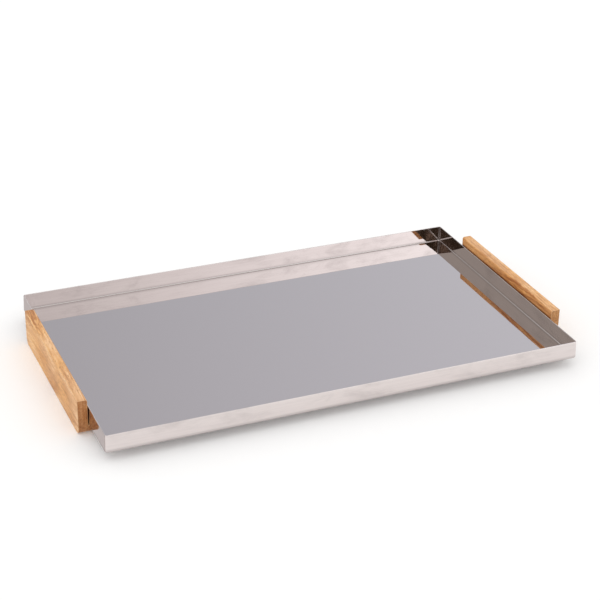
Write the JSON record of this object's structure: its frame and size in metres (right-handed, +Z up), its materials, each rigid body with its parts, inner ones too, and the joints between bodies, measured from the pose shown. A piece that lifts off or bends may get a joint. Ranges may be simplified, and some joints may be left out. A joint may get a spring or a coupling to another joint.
{
  "type": "serving tray",
  "caption": "Shallow rectangular polished steel tray with straight upright walls, standing on a rebated wooden handle bar at each short end.",
  "frame": {"origin": "middle of the footprint, on the surface that the tray stands on", "axes": "+X along the tray to its right-hand handle, +Y across it to the back, +Z up"},
  "size_m": [0.552, 0.325, 0.0395],
  "materials": {
    "polished_steel": "mirror polished stainless steel",
    "oiled_wood": "oiled light brown hardwood, fine grain along the bar",
    "stud_steel": "plain stainless steel",
    "washer_steel": "plain stainless steel",
    "nut_steel": "plain stainless steel"
  },
  "bodies": {
    "root": {"tray_pan": "polished_steel", "handle_left": "oiled_wood", "handle_right": "oiled_wood", "weld_stud_left_front": "stud_steel", "weld_stud_left_middle": "stud_steel", "weld_stud_left_back": "stud_steel", "weld_stud_right_front": "stud_steel", "weld_stud_right_middle": "stud_steel", "weld_stud_right_back": "stud_steel", "washer_left_front": "washer_steel", "washer_left_middle": "washer_steel", "washer_left_back": "washer_steel", "washer_right_front": "washer_steel", "washer_right_middle": "washer_steel", "washer_right_back": "washer_steel", "nut_left_front": "nut_steel", "nut_left_middle": "nut_steel", "nut_left_back": "nut_steel", "nut_right_front": "nut_steel", "nut_right_middle": "nut_steel", "nut_right_back": "nut_steel"}
  },
  "joints": []
}
